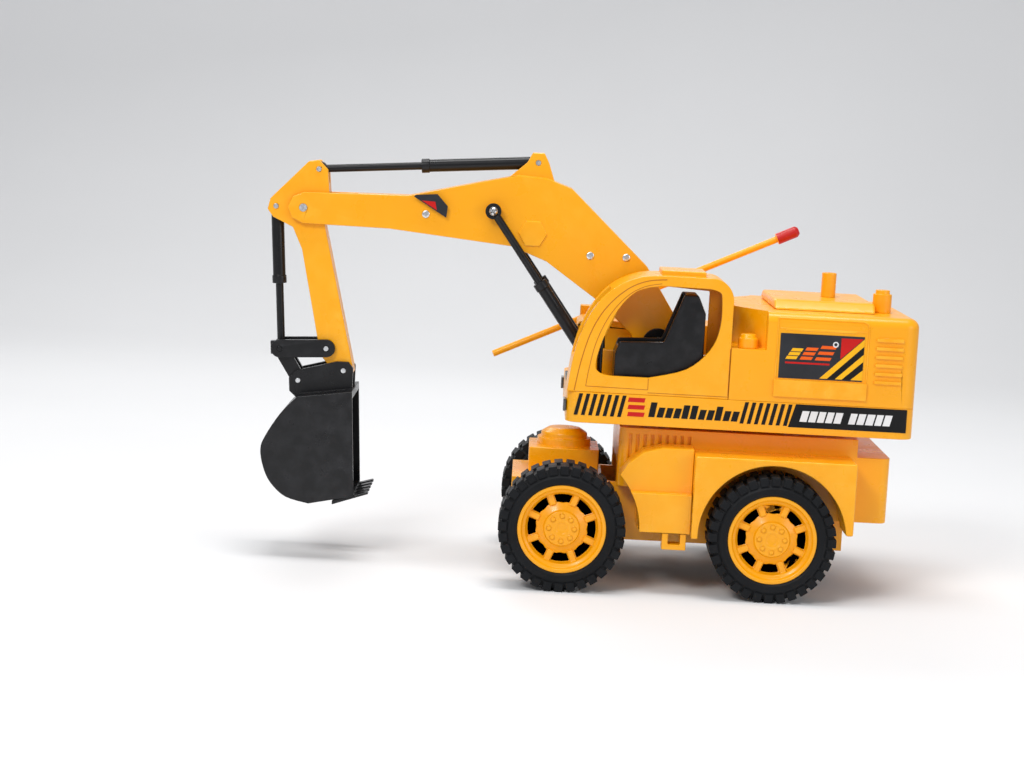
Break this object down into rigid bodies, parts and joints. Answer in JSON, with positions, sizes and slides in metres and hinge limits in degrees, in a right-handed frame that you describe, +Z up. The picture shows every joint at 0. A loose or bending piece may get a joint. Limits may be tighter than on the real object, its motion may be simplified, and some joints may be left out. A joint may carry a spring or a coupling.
{
  "type": "toy excavator",
  "caption": "Wheeled toy excavator with a steering front axle, turning house with open cab, and a boom, stick and bucket moved by a motor and by hand.",
  "frame": {"origin": "under the middle of the whole machine, on the ground", "axes": "+X forward to the bucket, +Y to the cab side (left), +Z up"},
  "size_m": [0.3306, 0.14, 0.2141],
  "materials": {
    "yellow_plastic": "glossy moulded plastic",
    "black_plastic": "glossy black moulded plastic",
    "tyre": "moulded rubber",
    "steel": "bright plated steel",
    "brass": "turned brass",
    "nylon": "matte white nylon",
    "battery_wrap": "blue shrink wrap",
    "motor_can": "drawn steel",
    "motor_case": "matte plastic case",
    "board": "green board",
    "lamp_lens": "clear lens",
    "soft_plastic": "soft yellow tube"
  },
  "bodies": {
    "chassis": {"chassis_frame": "yellow_plastic", "belly_cover": "black_plastic", "battery_pack": "battery_wrap", "charge_socket": "steel", "front_tower": "yellow_plastic", "rear_fenders": "yellow_plastic", "side_boxes": "yellow_plastic", "front_axle_beam": "black_plastic", "chassis_fasteners": "steel", "steering_motor": "motor_case", "drive_motor": "motor_can", "axle_bushes": "nylon", "turntable_ring": "black_plastic"},
    "left_steer": {"left_knuckle": "black_plastic"},
    "right_steer": {"right_knuckle": "black_plastic"},
    "front_left_wheel": {"front_left_tyre": "tyre", "front_left_rim": "yellow_plastic"},
    "front_right_wheel": {"front_right_tyre": "tyre", "front_right_rim": "yellow_plastic"},
    "tie_rod": {"tie_rod": "black_plastic"},
    "steering_crank": {"steering_crank": "nylon"},
    "rear_wheels": {"rear_axle": "steel", "axle_gear": "nylon", "rear_tyres": "tyre", "rear_rims": "yellow_plastic"},
    "drive_pinion": {"drive_pinion": "brass"},
    "power_switch": {"power_switch": "black_plastic"},
    "house": {"house_tub": "yellow_plastic", "circuit_board": "board", "turntable_keeper": "black_plastic", "cab_shell": "yellow_plastic", "seat": "black_plastic", "control_levers": "black_plastic", "right_deck": "yellow_plastic", "engine_house": "yellow_plastic", "engine_hood": "yellow_plastic", "roof_stacks": "yellow_plastic", "boom_mount": "black_plastic", "head_lamps": "lamp_lens", "boom_gearmotor": "motor_case", "antenna_tube": "yellow_plastic"},
    "boom": {"boom_left_half": "yellow_plastic", "boom_right_half": "yellow_plastic", "boom_fasteners": "steel", "boom_gear": "nylon", "boom_pivot": "steel"},
    "boom_pinion": {"boom_pinion": "nylon"},
    "boom_ram_barrel": {"boom_ram_barrel": "black_plastic"},
    "boom_ram_rod": {"boom_ram_rod": "black_plastic"},
    "stick": {"stick_left_half": "yellow_plastic", "stick_right_half": "yellow_plastic", "stick_pins": "steel"},
    "stick_ram_barrel": {"stick_ram_barrel": "black_plastic"},
    "stick_ram_rod": {"stick_ram_rod": "black_plastic"},
    "bucket": {"bucket": "black_plastic", "bucket_pins": "steel"},
    "bucket_rocker": {"bucket_rocker": "black_plastic"},
    "bucket_link": {"bucket_link": "black_plastic"},
    "bucket_ram_barrel": {"bucket_ram_barrel": "black_plastic"},
    "bucket_ram_rod": {"bucket_ram_rod": "black_plastic"}
  },
  "joints": [
    {"name": "left_steer_turn", "type": "hinge", "parent": "chassis", "child": "left_steer", "pos_m": [0.0065, 0.042, 0.0315], "axis": [0, 0, 1], "range_deg": [-13, 13]},
    {"name": "right_steer_turn", "type": "hinge", "parent": "chassis", "child": "right_steer", "pos_m": [0.0065, -0.042, 0.0315], "axis": [0, 0, 1], "range_deg": [-13, 13]},
    {"name": "front_left_spin", "type": "hinge", "parent": "left_steer", "child": "front_left_wheel", "pos_m": [0.0065, 0.057, 0.0315], "axis": [0, 1, 0], "continuous": true},
    {"name": "front_right_spin", "type": "hinge", "parent": "right_steer", "child": "front_right_wheel", "pos_m": [0.0065, -0.057, 0.0315], "axis": [0, 1, 0], "continuous": true},
    {"name": "tie_rod_slide", "type": "slide", "parent": "chassis", "child": "tie_rod", "axis": [0, 1, 0], "range_m": [-0.00358, 0.00358]},
    {"name": "steering_crank_turn", "type": "hinge", "parent": "chassis", "child": "steering_crank", "pos_m": [-0.0195, 0, 0.0315], "axis": [0, 0, 1], "range_deg": [-16.5, 16.5]},
    {"name": "rear_axle_spin", "type": "hinge", "parent": "chassis", "child": "rear_wheels", "pos_m": [-0.0975, 0, 0.0315], "axis": [0, 1, 0], "continuous": true},
    {"name": "drive_pinion_spin", "type": "hinge", "parent": "chassis", "child": "drive_pinion", "pos_m": [-0.0854, 0, 0.0315], "axis": [0, 1, 0], "continuous": true},
    {"name": "switch_slide", "type": "slide", "parent": "chassis", "child": "power_switch", "axis": [1, 0, 0], "range_m": [0, 0.003]},
    {"name": "house_swing", "type": "hinge", "parent": "chassis", "child": "house", "pos_m": [-0.0775, 0, 0.08], "axis": [0, 0, 1], "range_deg": [-170, 170]},
    {"name": "boom_lift", "type": "hinge", "parent": "house", "child": "boom", "pos_m": [-0.0385, 0, 0.12], "axis": [0, -1, 0], "range_deg": [-8, 24]},
    {"name": "boom_pinion_spin", "type": "hinge", "parent": "house", "child": "boom_pinion", "pos_m": [-0.0385, 0, 0.0999], "axis": [0, -1, 0], "range_deg": [-96.6, 32.6]},
    {"name": "boom_ram_swing", "type": "hinge", "parent": "house", "child": "boom_ram_barrel", "pos_m": [-0.0055, 0, 0.108], "axis": [0, -1, 0], "range_deg": [-9, 25.8]},
    {"name": "boom_ram_stroke", "type": "slide", "parent": "boom_ram_barrel", "child": "boom_ram_rod", "axis": [0.586, 0, 0.8103], "range_m": [-0.00509, 0.01467]},
    {"name": "stick_swing", "type": "hinge", "parent": "boom", "child": "stick", "pos_m": [0.1465, 0, 0.18], "axis": [0, -1, 0], "range_deg": [-6, 28]},
    {"name": "stick_ram_swing", "type": "hinge", "parent": "boom", "child": "stick_ram_barrel", "pos_m": [0.02751, 0, 0.209], "axis": [0, -1, 0], "range_deg": [-3.77, 1.28]},
    {"name": "stick_ram_stroke", "type": "slide", "parent": "stick_ram_barrel", "child": "stick_ram_rod", "axis": [0.9968, 0, -0.08], "range_m": [-0.00852, 0.00206]},
    {"name": "bucket_curl", "type": "hinge", "parent": "stick", "child": "bucket", "pos_m": [0.12229, 0, 0.0972], "axis": [0, -1, 0], "range_deg": [-20, 20]},
    {"name": "rocker_swing", "type": "hinge", "parent": "stick", "child": "bucket_rocker", "pos_m": [0.13169, 0, 0.10817], "axis": [0, -1, 0], "range_deg": [-22.62, 22.62]},
    {"name": "link_swing", "type": "hinge", "parent": "bucket_rocker", "child": "bucket_link", "pos_m": [0.1557, 0, 0.10688], "axis": [0, -1, 0], "range_deg": [-16.37, 16.37]},
    {"name": "bucket_ram_swing", "type": "hinge", "parent": "stick", "child": "bucket_ram_barrel", "pos_m": [0.1607, 0, 0.18], "axis": [0, -1, 0], "range_deg": [-0.88, 0.88]},
    {"name": "bucket_ram_stroke", "type": "slide", "parent": "bucket_ram_barrel", "child": "bucket_ram_rod", "axis": [-0.0683, 0, -0.9977], "range_m": [-0.00934, 0.00934]}
  ],
  "couplings": [
    {"joint": "right_steer_turn", "follows": "left_steer_turn", "ratio": 1},
    {"joint": "tie_rod_slide", "follows": "left_steer_turn", "m_per_rad": -0.014},
    {"joint": "steering_crank_turn", "follows": "left_steer_turn", "ratio": -1.1667},
    {"joint": "drive_pinion_spin", "follows": "rear_axle_spin", "ratio": -2},
    {"joint": "boom_pinion_spin", "follows": "boom_lift", "ratio": -4},
    {"joint": "boom_ram_swing", "follows": "boom_lift", "ratio": 1.05},
    {"joint": "boom_ram_stroke", "follows": "boom_lift", "m_per_rad": 0.034313},
    {"joint": "stick_ram_swing", "follows": "stick_swing", "ratio": -0.11328},
    {"joint": "stick_ram_stroke", "follows": "stick_swing", "m_per_rad": -0.016816},
    {"joint": "rocker_swing", "follows": "bucket_curl", "ratio": 1.101},
    {"joint": "link_swing", "follows": "bucket_curl", "ratio": -0.78859},
    {"joint": "bucket_ram_swing", "follows": "bucket_curl", "ratio": -0.013771},
    {"joint": "bucket_ram_stroke", "follows": "bucket_curl", "m_per_rad": -0.025903}
  ]
}
